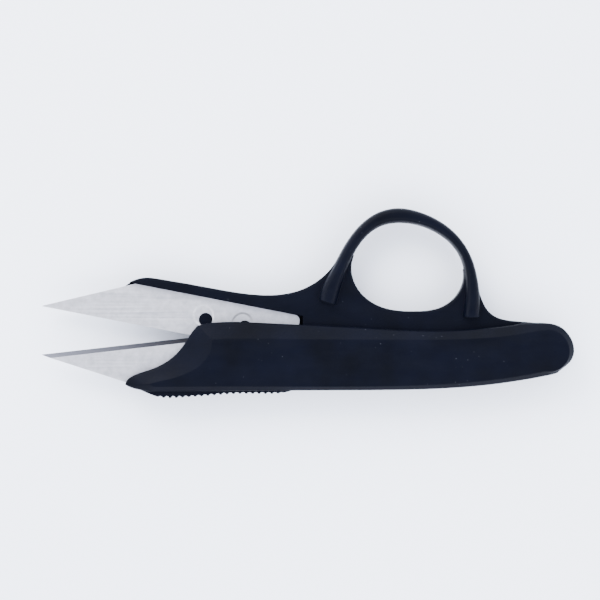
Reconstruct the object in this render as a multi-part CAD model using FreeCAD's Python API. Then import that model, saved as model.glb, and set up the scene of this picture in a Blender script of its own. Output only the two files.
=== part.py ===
import FreeCAD, Part
import math
import os

# Thread snips: a casing held in the palm, with a fixed lower blade, and a lever with a finger ring and
# the upper blade, which turns about a pin at the casing's rear end. A coil spring holds the blades apart.
#
# Millimetres. The origin is on the pivot axis, at the back face that the snips lie on. -X runs forward
# to the blade tips, +Y is the side of the finger ring, and +Z points out of the front face. The blades
# slide on each other at the shear plane, half way through the casing's depth.

# Overall sizes
handle_length = 93.4  # pivot axis to the casing's nose
blade_overhang = 19.3  # blade tips ahead of the nose
casing_depth = 10.0  # back face to front face

# Casing walls
front_wall = 2.0
cover_wall = 1.8
side_wall = 1.6
facet_drop = 1.3  # fall of the sloping facets, from the flat of a face to its edge
facet_break = 0.25  # bevel between the facets and the side wall
crown_radius = 55.0  # the front face is slightly barrelled across its height
crown_height = -2.5  # Y of the crown's ridge
end_radius = 6.1  # rear end, nearly a half round
end_setback = 1.15  # centre of the rear end behind the pivot axis
end_drop = 0.28  # and below it
end_flat_setback = 1.3  # the face's flat inside the rear end

# Blades
blade_length = 58.0  # along the cutting edge
blade_width = 9.0
blade_thickness = 1.2
blade_point_angle = 24.3
blade_tip_flat = 0.25
blade_tip_start = 0.22  # cutting edge's start behind the sharp point
blade_corner_radius = 1.3
bevel_width = 1.0
bevel_land = 0.15  # thickness left at the cutting edge
hole_stations = (37.1, 46.1)  # the two holes, from the tip
hole_across = 4.05  # and from the cutting edge
hole_radius = 1.55
post_clearance = 0.02  # moulded post in the hole
post_root = 0.5  # length of the post inside its moulding
coin_radius = 2.45  # shallow coined disc round each hole
coin_depth = 0.16
coin_slope_width = 0.5  # width of its sloping edge
coin_shift = (-0.7, 0.9)  # centre of the disc from the hole, along and across the blade
shear_gap = 0.04  # between the two blades
upper_slope = -11.0  # degrees, cutting edges at rest
lower_slope = 6.5
upper_tip_height = 9.49
lower_tip_height = -1.49

# Lever
lever_gap = 0.3  # lever to the casing's walls
lever_step = 1.6  # the lever's front face above the upper blade's face
pocket_gap = 0.05  # blade to the pocket's long wall
pocket_end_gap = 0.5  # blade's rear end to the pocket's end wall
flange_inset = 1.6  # backing flange inside the cutting edge
flange_middle = 30.2  # where its edge leaves the cutting edge's line, from the tip
flange_front = (18.3, 7.0)  # its front corner, along and across the blade
arm_bottom = -2.7  # Y of the arm's lower edge round the stop slot
arm_ramp = 1.6  # length of the steps in that edge
arm_clearance = 0.4  # closed arm to the screw bosses
rim_clearance = 0.4  # closed rim to the lower blade and its seat
edge_round = 0.35  # rounded edges of the lever

# Finger ring
ring_length = 25.4  # opening
ring_forward = 29.9  # opening's centre ahead of the pivot axis
ring_height = 18.25  # and above it
ring_base_depth = 8.0
ring_crown_depth = 7.0
ring_squareness = 3.2  # the section's shape: 2 is an oval, and more is nearer to a rectangle
ring_section_points = 20

# Pivot
pin_radius = 1.5
pin_bite = 1.1  # length of the pin in the front wall
cover_pin_bite = 0.9  # and in the cover
pin_clearance = 0.05
pin_chamfer = 0.2
knuckle_radius = 3.2
knuckle_core = 2.56  # the arm's outline inside the round knuckle
tail_height = 4.2  # Y of the lever's rear corner over the pivot

# Opening stop
stop_reach = 24.8  # from the pivot axis
stop_height = -0.5
stop_radius = 1.1
stop_clearance = 0.08

# Return spring
spring_station = 43.0  # ahead of the pivot axis
spring_radius = 2.0  # outside
spring_wire = 0.4
spring_turns = 5.5
spring_turn_points = 16  # points of the wire's line in each turn
spring_seat = 0.3  # Y of the seat under the lever's arm
spring_peg_length = 1.3
spring_peg_root = 1.0  # length of the peg inside its moulding
spring_peg_clearance = 0.4  # the lever's peg moves 0.3 rearward in the coil as the blades close
spring_end_gap = 0.02

# Cover screws
screw_radius = 1.1
screw_core_radius = 0.85
screw_thread_pitch = 0.8
screw_head_radius = 1.8
screw_head_height = 1.0
screw_head_depth = 0.15  # head below the cover's face
screw_tip_height = 7.0
screw_recess_length = 2.2
screw_recess_width = 0.4
screw_recess_depth = 0.5
screw_clearance = 0.05
boss_radius = 2.1

# Thumb pad
pad_inset = 1.8  # pad's side faces inside the casing's faces
pad_rib_pitch = 1.43
pad_rib_count = 20
pad_rib_start = 0.625  # rearmost groove, as a share of the handle's length
pad_groove_radius = 0.6
pad_groove_depth = 0.35
pad_rear_height = -10.2  # Y of its face
pad_front_height = -11.05
pad_slope_rear = 0.72  # the slope between the two, as shares of the handle's length
pad_slope_front = 0.88

# Heights
shear_plane = casing_depth / 2
upper_face = shear_plane - shear_gap / 2
upper_back = upper_face - blade_thickness
lower_face = shear_plane + shear_gap / 2
lower_front = lower_face + blade_thickness
inner_front = casing_depth - front_wall
lever_back = cover_wall + lever_gap
lever_front = upper_face + lever_step
knuckle_front = inner_front - lever_gap

# Blade positions
tip_reach = handle_length + blade_overhang
UPPER = (-tip_reach, upper_tip_height, upper_slope, 1)
LOWER = (-tip_reach, lower_tip_height, lower_slope, -1)
closing_angle = math.degrees(
    math.atan2(upper_tip_height, tip_reach) - math.atan2(lower_tip_height, tip_reach)
)

AXIS = FreeCAD.Vector(0, 0, 1)
ORIGIN = FreeCAD.Vector(0, 0, 0)
FAR = 400.0
PAST = 5.0  # a cut runs this far past what it cuts
TINY = 1e-4


def at(x, y, z=0.0):
    return FreeCAD.Vector(x, y, z)


def station(share, y):
    """A point at a share of the handle's length ahead of the pivot axis."""
    return at(-share * handle_length, y)


def line(a, b):
    return Part.LineSegment(a, b).toShape()


def spline(points, start=None, end=None):
    """A smooth curve through the points, with its end directions where they are given."""
    curve = Part.BSplineCurve()
    if start is None:
        curve.interpolate(points)
    else:
        curve.interpolate(Points=points, InitialTangent=start, FinalTangent=end)
    return curve.toShape()


def polyline(points):
    return [line(a, b) for a, b in zip(points, points[1:])]


def polygon(points):
    return polyline(points + points[:1])


def plate(edges, low, high):
    """The closed outline, filled between two heights."""
    face = Part.Face(Part.Wire(Part.sortEdges(edges)[0]))
    face.translate(at(0, 0, low))
    return face.extrude(at(0, 0, high - low))


def rims(body, height):
    """The body's curved edges that lie at that height."""
    return [e for e in body.Edges if at_height(e, height) and not isinstance(e.Curve, Part.Line)]


def at_height(edge, height):
    box = edge.BoundBox
    return abs(box.ZMin - height) < TINY and abs(box.ZMax - height) < TINY


def rod(radius, x, y, low, high):
    return Part.makeCylinder(radius, high - low, at(x, y, low))


def on_blade(blade, along, across, z=0.0):
    """The point that far along the cutting edge from the tip, and across towards the blade's back."""
    x, y, slope, side = blade
    a = math.radians(slope)
    return at(
        x + along * math.cos(a) - across * side * math.sin(a),
        y + along * math.sin(a) + across * side * math.cos(a),
        z,
    )


def from_blade(blade, point):
    """The point's place along and across the blade: the inverse of on_blade."""
    x, y, slope, side = blade
    a = math.radians(slope)
    dx, dy = point.x - x, point.y - y
    return (
        dx * math.cos(a) + dy * math.sin(a),
        side * (dy * math.cos(a) - dx * math.sin(a)),
    )


def closed(point):
    """Where a point of the lever is when the blades are closed."""
    return FreeCAD.Rotation(AXIS, closing_angle).multVec(point)


# The closed lever's rim runs along the upper blade's back edge. Measured on the lower blade, it crosses
# the cutting edge at heel_start and rises at heel_slope, so each blade's heel is relieved along that line
# to let it pass.
rim_front = from_blade(LOWER, closed(on_blade(UPPER, 0, blade_width)))
rim_rear = from_blade(LOWER, closed(on_blade(UPPER, blade_length, blade_width)))
heel_slope = (rim_rear[1] - rim_front[1]) / (rim_rear[0] - rim_front[0])
heel_start = rim_front[0] - (rim_front[1] + rim_clearance) / heel_slope


def heel_relief(along):
    """How far the heel is cut back from the line of the cutting edge."""
    return max(0.0, (along - heel_start) * heel_slope)


# Casing outline, shared by the two halves

nose = station(1.0, -8.1)
top_front = station(0.826, 5.1)
floor_front = station(0.935, -9.75)
FLOOR = ((0.156, -8.47), (0.33, -9.3), (0.6, -9.45))  # shares of the handle's length, and Y


def on_end(degrees, share):
    """A point of the rear end, at a share of its radius from its centre."""
    a = math.radians(degrees)
    reach = share * end_radius
    return at(end_setback + reach * math.cos(a), -end_drop + reach * math.sin(a))


top_rear = on_end(96, 0.98)
bottom_rear = on_end(-94, 0.975)


def outer_edges():
    """The casing's outline: top edge, rear end, floor, chin and the concave front edge under the blade."""
    forward = at(-1, 0)
    backward = at(1, 0)
    top = [
        top_front,
        station(0.777, 5.85),
        station(0.647, 5.6),
        station(0.45, 4.75),
        station(0.307, 3.98),
        station(0.165, 4.3),
        station(0.065, 5.25),
        top_rear,
    ]
    end = [
        top_rear,
        on_end(54, 0.975),
        on_end(3, 1.0),
        on_end(-25, 0.972),
        on_end(-60, 0.912),
        bottom_rear,
    ]
    floor = [bottom_rear] + [station(share, y) for share, y in FLOOR] + [floor_front]
    front = [
        nose,
        station(0.996, -7.2),
        station(0.977, -5.95),
        station(0.938, -4.7),
        station(0.885, -1.9),
        station(0.861, 0.56),
        station(0.847, 2.6),
        top_front,
    ]
    return [
        spline(top, at(1, 0.35), backward),
        spline(end, backward, at(-1, -0.2)),
        spline(floor, at(-1, -0.2), forward),
        spline([floor_front, station(0.966, -9.3), nose], forward, at(-1, 0.75)),
        spline(front),
    ]


def flat_edges():
    """The outline of a face's flat, one edge for each edge of the casing's outline."""
    front_top = station(0.784, 1.47)
    rear_top = at(1.3, 3.5)
    rear_middle = at(end_setback + end_radius - end_flat_setback, -end_drop)
    rear_bottom = at(0.7, -5.0)
    chin = station(0.918, -8.2)
    throat = station(0.927, -8.0)
    return [
        spline([front_top, station(0.53, 1.5), station(0.266, 1.65), station(0.106, 2.1), rear_top]),
        Part.Arc(rear_top, rear_middle, rear_bottom).toShape(),
        spline([rear_bottom, station(0.156, -7.2), station(0.33, -8.05), station(0.6, -8.2), chin]),
        line(chin, throat),
        spline([throat, station(0.863, -6.46), station(0.828, -4.56), station(0.805, -2.37), front_top]),
    ]


def faceted(edge_height, flat_height):
    """The layer between the casing's outline at one height and the flat of its face at another."""
    outer = outer_edges()
    inner = flat_edges()
    for edge in outer:
        edge.translate(at(0, 0, edge_height))
    for edge in inner:
        edge.translate(at(0, 0, flat_height))
    sides = [Part.makeRuledSurface(a, b) for a, b in zip(outer, inner)]
    caps = [Part.Face(Part.Wire(edges)) for edges in (outer, inner)]
    solid = Part.Solid(Part.Shell(sides + caps))
    if solid.Volume < 0:
        solid.reverse()
    return solid


def floor_height(x):
    """Y of the floor's outside at that X, between the floor's middle two stations."""
    (near, near_y), (far, far_y) = FLOOR[1:]
    share = (-x / handle_length - near) / (far - near)
    return near_y + (far_y - near_y) * share


def cavity_edges():
    """The channel inside the side wall, open along the top and at the front."""
    inner_radius = end_radius - side_wall
    rear = at(end_setback, -end_drop - inner_radius)
    rear_top = at(end_setback, -end_drop + inner_radius)
    inside = [station(share, y + side_wall) for share, y in FLOOR]
    floor = [rear] + inside + [at(nose.x - PAST, inside[-1].y)]
    return [
        spline(floor, at(-1, -0.1), at(-1, 0)),
        line(floor[-1], at(floor[-1].x, FAR)),
        line(at(floor[-1].x, FAR), at(end_setback, FAR)),
        line(at(end_setback, FAR), rear_top),
        Part.Arc(rear_top, at(end_setback + inner_radius, -end_drop), rear).toShape(),
    ]


# Places that the halves, the lever and the fasteners share

spring_x = -spring_station
spring_floor = floor_height(spring_x) + side_wall
stop_x = -math.sqrt(stop_reach**2 - stop_height**2)


# Each head lies inside the flat of the cover's face. The front one is halfway from spring to blade.
blade_rear_x = on_blade(LOWER, blade_length, 0).x
SCREWS = {
    "front": ((spring_x + blade_rear_x) / 2, -5.95),
    "middle": (-0.315 * handle_length, -5.85),
    "rear": (-0.104 * handle_length, -4.5),
}


def seat_edges():
    """The seat of the lower blade: the part of the front wall below the closed lever's rim."""
    front = on_blade(LOWER, 0, -heel_start * heel_slope)
    rear = on_blade(LOWER, blade_length, heel_relief(blade_length))
    return polygon([front, rear, on_blade(LOWER, blade_length, FAR), on_blade(LOWER, 0, FAR)])


def add_posts(blade, low, high):
    """The moulded posts that hold a blade, each a little inside the blade's hole."""
    posts = []
    for along in hole_stations:
        p = on_blade(blade, along, hole_across)
        posts.append(rod(hole_radius - post_clearance, p.x, p.y, low, high))
    return posts


def pad_face(x):
    """Y of the thumb pad's ribbed face: level at the rear, then sloping down to a level front."""
    share = min(1.0, max(0.0, (pad_slope_rear + x / handle_length) / (pad_slope_rear - pad_slope_front)))
    return pad_rear_height + (pad_front_height - pad_rear_height) * share * share * (3 - 2 * share)


def thumb_pad():
    """The ribbed pad under the floor, below the blade's seat."""
    root = floor_front.y + side_wall / 2
    front = station(0.97, -9.0)
    heel = station(0.60, -9.45)
    stations = (0.913, 0.86, 0.80, 0.74, 0.68, 0.645)
    face = [station(share, pad_face(-share * handle_length)) for share in stations]
    below = spline([front, station(0.937, -10.4)] + face + [heel])
    edges = [
        below,
        line(heel, at(heel.x, root)),
        line(at(heel.x, root), at(front.x, root)),
        line(at(front.x, root), front),
    ]
    return plate(edges, cover_wall, casing_depth - pad_inset)


def pad_grooves():
    """Round grooves across the pad, evenly spaced from its rear end."""
    grooves = []
    for i in range(pad_rib_count):
        x = -pad_rib_start * handle_length - i * pad_rib_pitch
        y = pad_face(x) - pad_groove_radius + pad_groove_depth
        grooves.append(rod(pad_groove_radius, x, y, 0, casing_depth))
    return grooves


def front_shell():
    edge_height = casing_depth - facet_drop
    body = plate(outer_edges(), cover_wall, edge_height).fuse(faceted(edge_height, casing_depth))
    body = body.makeChamfer(facet_break, rims(body, edge_height))
    crown = Part.makeCylinder(
        crown_radius, 2 * FAR, at(-FAR, crown_height, casing_depth - crown_radius), at(1, 0, 0)
    )
    body = body.common(crown)
    pad = thumb_pad().cut(pad_grooves())
    cavity = plate(cavity_edges(), 0, inner_front)
    seat = plate(seat_edges(), lower_front, casing_depth)
    body = body.fuse(pad).cut(cavity.cut(seat)).cut(blade_room(LOWER, 0, lower_front))
    bosses = [rod(boss_radius, x, y, cover_wall, inner_front) for x, y in SCREWS.values()]
    peg = rod(stop_radius, stop_x, stop_height, cover_wall + stop_clearance, inner_front)
    spring_peg = Part.makeCylinder(
        spring_radius - spring_wire - spring_peg_clearance,
        spring_peg_length + spring_peg_root,
        at(spring_x, spring_floor - spring_peg_root, spring_height()),
        at(0, 1, 0),
    )
    posts = add_posts(LOWER, lower_face, lower_front + post_root)
    body = body.fuse(bosses + [peg, spring_peg] + posts)
    bores = [rod(screw_radius, x, y, 0, screw_tip_height) for x, y in SCREWS.values()]
    bores.append(rod(pin_radius, 0, 0, 0, inner_front + pin_bite))
    return body.cut(bores).removeSplitter()


def spring_height():
    """Z of the spring's axis: the middle of the lever's arm."""
    return (lever_back + lever_front) / 2


def back_cover():
    body = plate(outer_edges(), facet_drop, cover_wall).fuse(faceted(facet_drop, 0))
    body = body.makeChamfer(facet_break, rims(body, facet_drop))
    body = body.cut(rod(pin_radius, 0, 0, cover_wall - cover_pin_bite, casing_depth))
    for x, y in SCREWS.values():
        body = body.cut(screw_blank(x, y, screw_clearance))
    return body.removeSplitter()


def screw_blank(x, y, clearance):
    """A countersunk screw without its thread, as large as the hole that it needs in the cover."""
    head = Part.makeCone(
        screw_head_radius + clearance,
        screw_radius + clearance,
        screw_head_height,
        at(x, y, screw_head_depth),
    )
    entry = rod(screw_head_radius + clearance, x, y, -PAST, screw_head_depth)
    return head.fuse([entry, rod(screw_radius + clearance, x, y, 0, casing_depth)])


def cover_screw(x, y):
    """A self-tapping screw: cross-recess countersunk head, threaded shank and point."""
    under_head = screw_head_depth + screw_head_height
    profile = [
        at(0, 0, screw_head_depth),
        at(screw_head_radius, 0, screw_head_depth),
        at(screw_radius, 0, under_head),
    ]
    z = under_head
    while z + screw_thread_pitch < screw_tip_height - screw_radius:
        profile.append(at(screw_core_radius, 0, z + screw_thread_pitch / 2))
        profile.append(at(screw_radius, 0, z + screw_thread_pitch))
        z += screw_thread_pitch
    profile.append(at(screw_core_radius, 0, z + screw_thread_pitch / 2))
    profile.append(at(0, 0, screw_tip_height))
    body = Part.Face(Part.Wire(polygon(profile))).revolve(ORIGIN, AXIS, 360)
    long, wide = screw_recess_length, screw_recess_width
    for w, h in ((wide, long), (long, wide)):
        recess = Part.makeBox(w, h, screw_recess_depth, at(-w / 2, -h / 2, screw_head_depth))
        body = body.cut(recess)
    body.translate(at(x, y))
    return body


def blade(place, face, outside):
    """A blade with its flat side at the height face, and its ground side at the height outside."""
    heel = heel_relief(blade_length)
    shoulder = blade_width / math.tan(math.radians(blade_point_angle))
    slope = math.tan(math.radians(blade_point_angle))
    tip_along = blade_tip_flat / slope
    r = blade_corner_radius

    def p(along, across):
        return on_blade(place, along, across)

    corner = p(blade_length - r * (1 - math.sqrt(0.5)), blade_width - r * (1 - math.sqrt(0.5)))
    edges = polyline(
        [
            p(blade_length, blade_width - r),
            p(blade_length, heel),
            p(heel_start, 0),
            p(blade_tip_start, 0),
            p(tip_along, blade_tip_flat),
            p(shoulder, blade_width),
            p(blade_length - r, blade_width),
        ]
    )
    rounding = Part.Arc(p(blade_length - r, blade_width), corner, p(blade_length, blade_width - r))
    edges.append(rounding.toShape())
    low, high = sorted((face, outside))
    body = plate(edges, low, high)
    # Ground bevel: a wedge cut off the outer side along the cutting edge.
    land = face + (bevel_land if outside > face else -bevel_land)
    section = [
        on_blade(place, -PAST, bevel_width, outside),
        on_blade(place, -PAST, -PAST, outside),
        on_blade(place, -PAST, -PAST, land),
        on_blade(place, -PAST, 0, land),
    ]
    run = on_blade(place, heel_start + PAST, 0) - on_blade(place, 0, 0)
    body = body.cut(Part.Face(Part.Wire(polygon(section))).extrude(run))
    for along in hole_stations:
        hole = on_blade(place, along, hole_across)
        body = body.cut(rod(hole_radius, hole.x, hole.y, low - PAST, high + PAST))
        coin = on_blade(place, along + coin_shift[0], hole_across + coin_shift[1])
        inwards = at(0, 0, 1 if outside > face else -1)
        coin.z = face
        floor_radius = coin_radius - coin_slope_width
        body = body.cut(Part.makeCone(coin_radius, floor_radius, coin_depth, coin, inwards))
    return body


# Finger ring

ring_centre = at(-ring_forward, ring_height)

# The opening: an egg, as shares of its length from its centre, from the left end over the top.
OPENING = (
    (-0.500, -0.030),
    (-0.476, 0.104),
    (-0.370, 0.282),
    (-0.240, 0.364),
    (-0.083, 0.392),
    (0.110, 0.372),
    (0.228, 0.325),
    (0.358, 0.238),
    (0.437, 0.148),
    (0.496, -0.020),
    (0.465, -0.207),
    (0.331, -0.341),
    (0.055, -0.392),
    (-0.264, -0.341),
    (-0.440, -0.200),
)

# The ring's spine and its half width in the plane, from the front base over the crown to the rear base.
SPINE = (
    (-0.713, -0.312, 2.05),
    (-0.628, -0.069, 1.70),
    (-0.561, 0.077, 1.45),
    (-0.490, 0.205, 1.38),
    (-0.360, 0.356, 1.45),
    (-0.224, 0.435, 1.60),
    (-0.083, 0.459, 1.68),
    (0.063, 0.440, 1.53),
    (0.260, 0.362, 1.32),
    (0.417, 0.238, 1.15),
    (0.518, 0.081, 1.12),
    (0.551, -0.030, 1.25),
    (0.566, -0.140, 1.45),
    (0.571, -0.247, 1.64),
    (0.566, -0.350, 1.84),
    (0.561, -0.445, 1.98),
)


def in_ring(u, v):
    return ring_centre + at(u * ring_length, v * ring_length)


def ring_section(centre, across, width, depth):
    """A closed outline round the centre: a squared oval of that half width and depth."""
    power = 2 / ring_squareness
    points = []
    for i in range(ring_section_points):
        a = 2 * math.pi * i / ring_section_points
        side = math.copysign(abs(math.cos(a)) ** power, math.cos(a))
        rise = math.copysign(abs(math.sin(a)) ** power, math.sin(a))
        points.append(centre + across * (width * side) + AXIS * (depth / 2 * rise))
    outline = Part.BSplineCurve()
    outline.interpolate(Points=points, PeriodicFlag=True)
    return Part.Wire(outline.toShape())


def ring_band():
    """The ring itself: a flat-sided section, deeper than it is wide, carried along the spine."""
    points = [in_ring(u, v) for u, v, w in SPINE]
    path = Part.BSplineCurve()
    path.interpolate(points)
    sections = []
    last = len(points) - 1
    for i, (point, (u, v, width)) in enumerate(zip(points, SPINE)):
        tangent = path.tangent(path.parameter(point))[0]
        # Deep at the two bases and shallower over the crown.
        share = math.sin(math.pi * i / last)
        depth = ring_base_depth + (ring_crown_depth - ring_base_depth) * share
        sections.append(ring_section(point + at(0, 0, shear_plane), AXIS.cross(tangent), width, depth))
    return Part.makeLoft(sections, True, False)


def over_boss(name):
    """The two ends of the arm's lower edge over a screw boss, clear of it when the blades are closed."""
    x, y = SCREWS[name]
    reach = boss_radius + arm_clearance
    drop = (reach - x) * math.sin(math.radians(closing_angle))
    height = y + reach + drop
    return [at(x + reach, height), at(x - reach, height)]


def lever_edges():
    """The lever's outline without the ring: rim, web, arm, knuckle, and back under the blade."""
    w = blade_width
    rim = [
        on_blade(UPPER, along, w + beyond)
        for along, beyond in (
            (17.8, -0.85),
            (19.6, 0.73),
            (22.1, 1.83),
            (24.9, 2.1),
            (34.5, 2.3),
            (45.5, 2.6),
            (50.9, 3.4),
        )
    ]
    front_fillet = [
        in_ring(-0.933, -0.195),
        in_ring(-0.827, -0.14),
        in_ring(-0.72, -0.053),
        in_ring(-0.624, 0.075),
    ]
    front_top = in_ring(-0.55, 0.11)
    opening = [in_ring(u, v) for u, v in OPENING[9:] + OPENING[:2]]
    rear_top = in_ring(0.533, 0.02)
    rear_fillet = [
        in_ring(0.582, 0.03),
        in_ring(0.602, -0.037),
        in_ring(0.614, -0.116),
        in_ring(0.634, -0.222),
        in_ring(0.661, -0.301),
        in_ring(0.705, -0.380),
        in_ring(0.772, -0.437),
        in_ring(0.890, -0.472),
        at(-2.1, 5.8),
        at(0.0, 5.5),
    ]
    tail = at(end_setback - 2 * lever_gap, tail_height)
    core = at(knuckle_core, 0)
    # Under the blade the flange stays inside the cutting edge and its relieved heel.
    flange = [
        on_blade(UPPER, along, flange_inset + heel_relief(along))
        for along in (blade_length, heel_start, flange_middle)
    ]
    flange.append(on_blade(UPPER, *flange_front))
    rear_bow, middle_bow, front_bow = over_boss("rear"), over_boss("middle"), over_boss("front")
    arm = (
        [at(0, -knuckle_radius), at(-knuckle_radius, rear_bow[0].y)]
        + rear_bow
        + [at(rear_bow[1].x - arm_ramp, arm_bottom), at(middle_bow[0].x + arm_ramp, arm_bottom)]
        + middle_bow
        + [
            at(middle_bow[1].x - arm_ramp, spring_seat),
            at(spring_x - spring_radius - lever_gap, spring_seat),
        ]
        + front_bow
        + [flange[0]]
    )
    return (
        [spline(rim + front_fillet)]
        + [line(front_fillet[-1], front_top), line(front_top, opening[-1])]
        + [spline(list(reversed(opening)))]
        + [line(opening[0], rear_top), line(rear_top, rear_fillet[0])]
        + [spline(rear_fillet)]
        + polyline([rear_fillet[-1], tail, core] + arm + flange[1:] + [rim[0]])
    )


def blade_room(blade, low, high):
    """Room for a blade: closed along its back and behind its rear end, and open ahead of its cutting edge."""
    front, back = -blade_width, blade_width + pocket_gap
    end = on_blade(blade, blade_length + pocket_end_gap, back)
    edge = on_blade(blade, blade_length, front)
    corners = [on_blade(blade, front, back), end, at(end.x, edge.y), edge, on_blade(blade, front, front)]
    return plate(polygon(corners), low, high)


def stop_slot():
    """Arc slot about the pivot axis in which the stop peg runs."""
    width = stop_radius + stop_clearance
    rest = math.degrees(math.atan2(stop_height, stop_x))
    low, high = 0, casing_depth
    ring = rod(stop_reach + width, 0, 0, low, high).cut(rod(stop_reach - width, 0, 0, low, high))
    corners = [ORIGIN]
    ends = []
    for degrees in (rest - closing_angle, rest):
        a = math.radians(degrees)
        corners.append(at(FAR * math.cos(a), FAR * math.sin(a)))
        ends.append(rod(width, stop_reach * math.cos(a), stop_reach * math.sin(a), low, high))
    return ring.common(plate(polygon(corners), low, high)).fuse(ends)


def ring_lever():
    body = plate(lever_edges(), lever_back, lever_front)
    body = body.makeFillet(edge_round, rims(body, lever_back) + rims(body, lever_front))
    body = body.cut(blade_room(UPPER, upper_back, casing_depth))
    body = body.fuse(ring_band())
    body = body.fuse(rod(knuckle_radius, 0, 0, lever_back, knuckle_front))
    peg = Part.makeCylinder(
        spring_radius - spring_wire - spring_peg_clearance,
        spring_peg_length + spring_peg_root,
        at(spring_x, spring_seat + spring_peg_root, spring_height()),
        at(0, -1, 0),
    )
    body = body.fuse([peg] + add_posts(UPPER, upper_back - post_root, upper_face))
    body = body.cut([rod(pin_radius + pin_clearance, 0, 0, 0, casing_depth), stop_slot()])
    return body.removeSplitter()


def pivot_pin():
    low = cover_wall - cover_pin_bite
    high = inner_front + pin_bite
    pin = rod(pin_radius, 0, 0, low, high)
    return pin.makeChamfer(pin_chamfer, [e for e in pin.Edges if isinstance(e.Curve, Part.Circle)])


def return_spring():
    """Coil compression spring standing on the casing's floor, under the lever's arm."""
    mean = spring_radius - spring_wire / 2
    low = spring_floor + spring_wire / 2 + spring_end_gap
    high = spring_seat - spring_wire / 2 - spring_end_gap
    count = round(spring_turns * spring_turn_points)
    points = []
    for i in range(count + 1):
        a = 2 * math.pi * i / spring_turn_points
        y = low + (high - low) * i / count
        points.append(at(spring_x + mean * math.cos(a), y, spring_height() + mean * math.sin(a)))
    path = Part.BSplineCurve()
    path.interpolate(points)
    across = path.tangent(path.FirstParameter)[0]
    section = Part.Wire(Part.Circle(points[0], across, spring_wire / 2).toShape())
    return Part.Wire(path.toShape()).makePipeShell([section], True, True)


def build():
    pieces = {
        "front_shell": front_shell(),
        "back_cover": back_cover(),
        "ring_lever": ring_lever(),
        "upper_blade": blade(UPPER, upper_face, upper_back),
        "lower_blade": blade(LOWER, lower_face, lower_front),
        "pivot_pin": pivot_pin(),
        "return_spring": return_spring(),
    }
    for name, (x, y) in SCREWS.items():
        pieces["cover_screw_" + name] = cover_screw(x, y)
    os.makedirs("parts", exist_ok=True)
    for name, shape in pieces.items():
        shape.exportStep("parts/" + name + ".step")
        print(name, "valid", shape.isValid(), "solids", len(shape.Solids), "volume", round(shape.Volume, 1))


build()
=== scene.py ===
import bpy
from math import atan2, radians, tau
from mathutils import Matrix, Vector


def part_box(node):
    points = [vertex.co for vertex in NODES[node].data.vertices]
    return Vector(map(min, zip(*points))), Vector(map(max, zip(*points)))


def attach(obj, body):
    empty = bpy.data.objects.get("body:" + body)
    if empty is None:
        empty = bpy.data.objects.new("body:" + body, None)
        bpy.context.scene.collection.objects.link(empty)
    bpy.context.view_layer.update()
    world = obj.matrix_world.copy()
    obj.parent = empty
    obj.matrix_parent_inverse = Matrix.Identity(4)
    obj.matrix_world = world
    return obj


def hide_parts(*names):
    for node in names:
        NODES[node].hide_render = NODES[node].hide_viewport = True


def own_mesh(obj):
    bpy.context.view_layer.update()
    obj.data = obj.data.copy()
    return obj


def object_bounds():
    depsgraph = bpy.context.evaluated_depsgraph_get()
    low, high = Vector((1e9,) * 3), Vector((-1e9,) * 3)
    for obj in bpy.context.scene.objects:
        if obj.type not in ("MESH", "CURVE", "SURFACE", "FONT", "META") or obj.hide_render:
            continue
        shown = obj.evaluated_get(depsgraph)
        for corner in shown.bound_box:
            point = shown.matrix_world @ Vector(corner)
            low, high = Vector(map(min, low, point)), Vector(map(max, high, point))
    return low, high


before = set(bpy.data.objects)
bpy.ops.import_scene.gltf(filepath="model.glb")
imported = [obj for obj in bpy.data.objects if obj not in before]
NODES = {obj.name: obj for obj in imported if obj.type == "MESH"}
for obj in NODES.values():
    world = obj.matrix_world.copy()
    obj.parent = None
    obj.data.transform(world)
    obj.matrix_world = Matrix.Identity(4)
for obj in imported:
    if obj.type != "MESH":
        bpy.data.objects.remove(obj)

cad_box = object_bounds()

# Thread snips lying on a pale table: black moulded handles, two ground steel blades, a finger ring, and a
# return spring inside the casing. Metres; +X is the rear end, +Y the finger ring and +Z up from the table.

MM = 0.001

# View from straight above
VIEW_WIDTH = 135.5 * MM  # width seen at the height of the blades
VIEW_CENTRE = (-54.2 * MM, 10.84 * MM)
VIEW_HEIGHT = 5 * MM
CAMERA_DISTANCE = 0.45
SENSOR_WIDTH = 36.0

# Table
TABLE_SIZE = 3.0
TABLE_DROP = 0.02 * MM  # table just under the cover's face

# Light
SKY = (  # from the horizon, 0, to straight overhead, 1
    (0.00, (0.30, 0.32, 0.40)),
    (0.20, (0.84, 0.88, 1.00)),
    (0.65, (0.86, 0.90, 1.00)),
    (0.92, (0.27, 0.29, 0.36)),
)
SKY_STRENGTH = 6.6
KEY_POWER = 5.2
KEY_SIZE = 0.35
KEY_PLACE = (-0.35, 0.45, 0.50)
KEY_COLOUR = (1.0, 0.99, 0.97)
FILL_POWER = 2.0
FILL_SIZE = 0.50
FILL_PLACE = (0.30, -0.40, 0.50)
FILL_COLOUR = (0.86, 0.91, 1.0)

# Handles
NYLON_DEEP = (0.0007, 0.0010, 0.0024)
NYLON_CLOUD = (0.0013, 0.0018, 0.0050)
NYLON_SHEEN = 0.04
NYLON_EDGE = 0.3 * MM  # softened edges
DUST_COLOUR = (0.30, 0.32, 0.36)
DUST_STRENGTH = 0.16

# Blades
BLADE_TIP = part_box("lower_blade")[0].x
BEVEL_SHADE_LENGTH = 36 * MM  # painted shade: the ground bevel is painted darker over this length from the tip, standing in for the shade of the upper blade and the casing near the heel
# Ground bevel colour at the tip, and with painted shade at the heel
BEVEL_AT_TIP = (0.13, 0.13, 0.145)
BEVEL_SHADED_AT_HEEL = (0.004, 0.004, 0.006)
FLAT_DARK = (0.40, 0.395, 0.405)
FLAT_PALE = (0.54, 0.53, 0.54)
BLADE_EDGE = 0.04 * MM  # softened edges

# Table board
BOARD_DARK = (0.91, 0.94, 1.0)
BOARD_PALE = (0.94, 0.96, 1.0)

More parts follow.
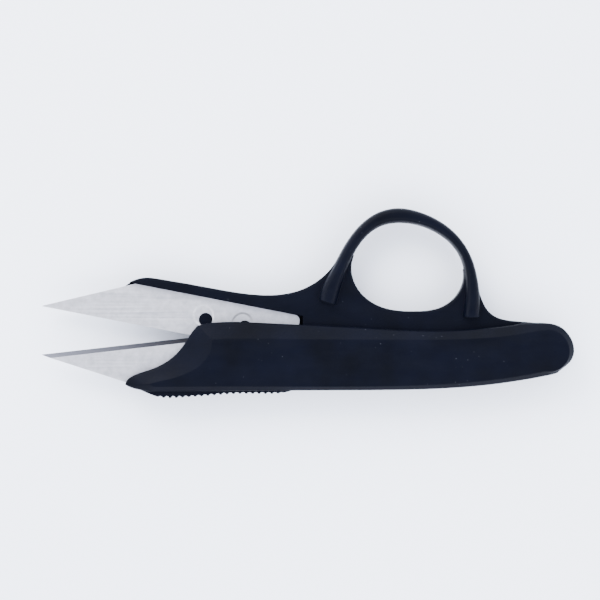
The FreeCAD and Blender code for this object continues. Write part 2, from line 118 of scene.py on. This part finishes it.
# Return spring
SPRING_WIRE_RADIUS = 0.2 * MM
SPRING_TURNS = 5.5
SPRING_STEPS = 32  # faces round each turn
SPRING_WIRE_FACES = 14


# Materials

def new_material(name, colour, metallic, roughness):
    """A node material and its shader, with the values that are the same all over."""
    material = bpy.data.materials.new(name)
    material.use_nodes = True
    shader = material.node_tree.nodes["Principled BSDF"]
    shader.inputs["Base Color"].default_value = (*colour, 1.0)
    shader.inputs["Metallic"].default_value = metallic
    shader.inputs["Roughness"].default_value = roughness
    return material, shader


def add(material, kind, **values):
    """A node with its settings, and its inputs where the name is an input's, with spaces for underscores."""
    node = material.node_tree.nodes.new(kind)
    for key, value in values.items():
        label = key.replace("_", " ")
        if label in node.inputs:
            node.inputs[label].default_value = value
        else:
            setattr(node, key, value)
    return node


def join(material, source, target):
    material.node_tree.links.new(source, target)


def object_space(material, scale=(1, 1, 1), angle=0.0):
    """The piece's own coordinates, turned about Z by an angle in degrees and stretched."""
    place = add(material, "ShaderNodeTexCoord")
    mapping = add(material, "ShaderNodeMapping", Rotation=(0, 0, radians(-angle)), Scale=scale)
    join(material, place.outputs["Object"], mapping.inputs["Vector"])
    return mapping.outputs["Vector"]


def noise(material, vector, scale, detail=2.0, roughness=0.5):
    node = add(material, "ShaderNodeTexNoise", Scale=scale, Detail=detail, Roughness=roughness)
    join(material, vector, node.inputs["Vector"])
    return node.outputs["Fac"]


def remap(material, value, low, high, to_low, to_high):
    """The value moved from one range to another, and kept inside it."""
    node = add(material, "ShaderNodeMapRange", clamp=True)
    for i, number in enumerate((low, high, to_low, to_high), start=1):
        node.inputs[i].default_value = number
    join(material, value, node.inputs[0])
    return node.outputs[0]


def ramp(material, value, stops):
    """A colour for each place on a 0 to 1 value."""
    node = add(material, "ShaderNodeValToRGB")
    elements = node.color_ramp.elements
    while len(elements) < len(stops):
        elements.new(0.5)
    for element, (place, colour) in zip(elements, stops):
        element.position = place
        element.color = (*colour, 1.0)
    join(material, value, node.inputs["Fac"])
    return node.outputs["Color"]


def mixed(material, factor, a, b):
    """Colour a, turning to colour b where the factor is 1."""
    node = add(material, "ShaderNodeMix", data_type="RGBA")
    for socket, source in ((node.inputs[0], factor), (node.inputs[6], a), (node.inputs[7], b)):
        if isinstance(source, tuple):
            socket.default_value = (*source, 1.0)
        else:
            join(material, source, socket)
    return node.outputs[2]


def bumped(material, shader, layers, edge_radius=0.0):
    """Adds layers of (height, strength, distance) to the surface, over edges softened by a radius."""
    normal = None
    if edge_radius:
        rounded = add(material, "ShaderNodeBevel", samples=6, Radius=edge_radius)
        normal = rounded.outputs["Normal"]
    for height, strength, distance in layers:
        node = add(material, "ShaderNodeBump", Strength=strength, Distance=distance)
        join(material, height, node.inputs["Height"])
        if normal:
            join(material, normal, node.inputs["Normal"])
        normal = node.outputs["Normal"]
    join(material, normal, shader.inputs["Normal"])


def moulded_nylon():
    """Black glass-filled nylon: fine moulded grain, cloudy gloss, and a little pale dust."""
    material, shader = new_material("handle_nylon", (0.004, 0.005, 0.009), 0.0, 0.42)
    shader.inputs["Specular IOR Level"].default_value = NYLON_SHEEN
    space = object_space(material)
    grain = noise(material, space, 5200, 3.0, 0.6)
    cloud = noise(material, space, 95, 3.0, 0.55)
    flow = noise(material, object_space(material, (0.25, 1, 1)), 420, 4.0, 0.6)
    tint = ramp(material, cloud, [(0.3, NYLON_DEEP), (0.7, NYLON_CLOUD)])
    specks = add(material, "ShaderNodeTexVoronoi", Scale=900)
    join(material, space, specks.inputs["Vector"])
    dust = remap(material, specks.outputs["Distance"], 0.04, 0.10, DUST_STRENGTH, 0.0)
    where = remap(material, noise(material, space, 240, 2.0), 0.56, 0.68, 0.0, 1.0)
    both = add(material, "ShaderNodeMath", operation="MULTIPLY")
    join(material, dust, both.inputs[0])
    join(material, where, both.inputs[1])
    dusted = mixed(material, both.outputs[0], tint, DUST_COLOUR)
    join(material, dusted, shader.inputs["Base Color"])
    join(material, remap(material, flow, 0.3, 0.7, 0.34, 0.50), shader.inputs["Roughness"])
    bumped(material, shader, [(grain, 0.9, 0.04 * MM), (cloud, 0.3, 0.12 * MM)], NYLON_EDGE)
    return material


def ground_steel(name, angle):
    """Stainless strip: grinding lines along a tumbled flat, and a darker ground bevel, with painted shade
    that deepens from the tip towards the heel.
    """
    material, shader = new_material(name, (0.72, 0.72, 0.74), 1.0, 0.4)
    lines = noise(material, object_space(material, (40, 2400, 40), angle), 1.0, 4.0, 0.65)
    cloud = noise(material, object_space(material), 700, 4.0, 0.6)
    fleck = noise(material, object_space(material), 2600, 2.0, 0.6)
    flat_tint = ramp(material, cloud, [(0.30, FLAT_DARK), (0.70, FLAT_PALE)])
    direction = add(material, "ShaderNodeTexCoord")
    parts = add(material, "ShaderNodeSeparateXYZ")
    join(material, direction.outputs["Normal"], parts.inputs[0])
    upright = add(material, "ShaderNodeMath", operation="ABSOLUTE")
    join(material, parts.outputs["Z"], upright.inputs[0])
    bevel = remap(material, upright.outputs[0], 0.80, 0.95, 1.0, 0.0)
    along = add(material, "ShaderNodeSeparateXYZ")
    join(material, direction.outputs["Object"], along.inputs[0])
    # Painted shade along the bevel: darker from the tip towards the heel, where the upper blade and the
    # casing shade it
    heel_shade = remap(material, along.outputs["X"], BLADE_TIP, BLADE_TIP + BEVEL_SHADE_LENGTH, 0.0, 1.0)
    bevel_tint_and_shade = ramp(material, heel_shade, [(0.0, BEVEL_AT_TIP), (1.0, BEVEL_SHADED_AT_HEEL)])
    join(material, mixed(material, bevel, flat_tint, bevel_tint_and_shade), shader.inputs["Base Color"])
    join(material, remap(material, lines, 0.3, 0.7, 0.36, 0.54), shader.inputs["Roughness"])
    bumped(material, shader, [(lines, 0.3, 0.012 * MM), (fleck, 0.5, 0.015 * MM)], BLADE_EDGE)
    return material


def drawn_steel(name, colour, roughness):
    """The wire, the pin and the screws, with fine uneven drawing marks."""
    material, shader = new_material(name, colour, 1.0, roughness)
    marks = noise(material, object_space(material), 3400, 3.0, 0.6)
    gloss = remap(material, marks, 0.3, 0.7, roughness - 0.08, roughness + 0.1)
    join(material, gloss, shader.inputs["Roughness"])
    bumped(material, shader, [(marks, 0.15, 0.01 * MM)])
    return material


def table_paper():
    """Smooth pale board with a faint cool tone."""
    material, shader = new_material("table_board", (0.93, 0.95, 1.0), 0.0, 0.8)
    cloud = noise(material, object_space(material), 9, 3.0)
    tint = ramp(material, cloud, [(0.3, BOARD_DARK), (0.7, BOARD_PALE)])
    join(material, tint, shader.inputs["Base Color"])
    return material


def dress(name, material):
    """Gives a carried-over part its finish in every one of its slots."""
    part = NODES[name]
    for slot in part.material_slots:
        slot.material = material
    if not part.material_slots:
        part.data.materials.append(material)


# Making

def start(add_primitive, name, **size):
    """Adds a primitive with nothing else selected, and names it."""
    bpy.ops.object.select_all(action="DESELECT")
    add_primitive(**size)
    piece = bpy.context.object
    piece.name = name
    return piece


def settle(piece):
    """Puts the piece's place into its mesh, so that its object is at the origin, unturned."""
    bpy.ops.object.select_all(action="DESELECT")
    piece.select_set(True)
    bpy.context.view_layer.objects.active = piece
    bpy.ops.object.transform_apply(location=True, rotation=True, scale=True)


def spring_coil(material):
    """The return spring: round wire wound about an upright axis, with its ends closed."""
    low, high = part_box("return_spring")
    centre = (low + high) / 2
    mean_radius = (high.x - low.x) / 2 - SPRING_WIRE_RADIUS
    height = high.y - low.y - 2 * SPRING_WIRE_RADIUS
    coil = start(
        bpy.ops.mesh.primitive_circle_add, "spring_coil",
        vertices=SPRING_WIRE_FACES, radius=SPRING_WIRE_RADIUS,
        location=(mean_radius, 0, 0), rotation=(tau / 4, 0, 0),
    )
    settle(coil)
    wind = coil.modifiers.new("wind", "SCREW")
    wind.axis = "Z"
    wind.iterations = 1
    wind.angle = SPRING_TURNS * tau
    wind.screw_offset = height
    wind.steps = round(SPRING_TURNS * SPRING_STEPS)
    wind.render_steps = wind.steps
    bpy.ops.object.modifier_apply(modifier=wind.name)
    bpy.ops.object.mode_set(mode="EDIT")
    bpy.ops.mesh.select_all(action="DESELECT")
    bpy.ops.mesh.select_mode(type="EDGE")
    bpy.ops.mesh.select_non_manifold()
    bpy.ops.mesh.edge_face_add()
    bpy.ops.mesh.select_all(action="SELECT")
    bpy.ops.mesh.normals_make_consistent(inside=False)
    bpy.ops.object.mode_set(mode="OBJECT")
    coil.rotation_euler = (-tau / 4, 0, 0)
    coil.location = (centre.x, low.y + SPRING_WIRE_RADIUS, centre.z)
    settle(coil)
    bpy.ops.object.shade_smooth_by_angle(angle=radians(40))
    coil.data.materials.append(material)
    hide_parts("return_spring")
    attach(coil, "handle")
    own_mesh(coil)
    return coil


# Camera, table and light

def camera():
    data = bpy.data.cameras.new("camera")
    data.sensor_width = SENSOR_WIDTH
    data.lens = SENSOR_WIDTH * CAMERA_DISTANCE / VIEW_WIDTH
    data.clip_start = 0.01
    view = bpy.data.objects.new("camera", data)
    view.location = (*VIEW_CENTRE, VIEW_HEIGHT + CAMERA_DISTANCE)
    bpy.context.collection.objects.link(view)
    bpy.context.scene.camera = view


def table():
    board = start(
        bpy.ops.mesh.primitive_plane_add, "table", size=TABLE_SIZE,
        location=(*VIEW_CENTRE, cad_box[0][2] - TABLE_DROP),
    )
    settle(board)
    board.data.materials.append(table_paper())


def softbox(name, place, size, power, colour):
    """A square lamp that faces the middle of the snips."""
    data = bpy.data.lights.new(name, "AREA")
    data.shape = "SQUARE"
    data.size = size
    data.energy = power
    data.color = colour
    lamp = bpy.data.objects.new(name, data)
    lamp.location = place
    aim = Vector((*VIEW_CENTRE, 0)) - lamp.location
    lamp.rotation_euler = aim.to_track_quat("-Z", "Y").to_euler()
    bpy.context.collection.objects.link(lamp)


def lights():
    """A bright room, darker straight overhead and near the table, with soft lamps on two sides."""
    world = bpy.data.worlds.new("studio")
    bpy.context.scene.world = world
    world.use_nodes = True
    sky = world.node_tree.nodes["Background"]
    direction = add(world, "ShaderNodeTexCoord")
    parts = add(world, "ShaderNodeSeparateXYZ")
    join(world, direction.outputs["Generated"], parts.inputs[0])
    join(world, ramp(world, parts.outputs["Z"], SKY), sky.inputs["Color"])
    sky.inputs["Strength"].default_value = SKY_STRENGTH
    softbox("key", KEY_PLACE, KEY_SIZE, KEY_POWER, KEY_COLOUR)
    softbox("fill", FILL_PLACE, FILL_SIZE, FILL_POWER, FILL_COLOUR)


camera()
table()
lights()

nylon = moulded_nylon()
for name in ("front_shell", "back_cover", "ring_lever"):
    dress(name, nylon)
for name in ("upper_blade", "lower_blade"):
    low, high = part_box(name)
    rise = high.y - low.y if name == "lower_blade" else low.y - high.y
    dress(name, ground_steel(name + "_steel", atan2(rise, high.x - low.x) * 360 / tau))
dress("pivot_pin", drawn_steel("pin_steel", (0.55, 0.55, 0.57), 0.35))
blackened = drawn_steel("fastener_steel", (0.10, 0.10, 0.11), 0.4)
for name in ("cover_screw_front", "cover_screw_middle", "cover_screw_rear"):
    dress(name, blackened)
spring_coil(drawn_steel("spring_wire_steel", (0.48, 0.48, 0.50), 0.3))
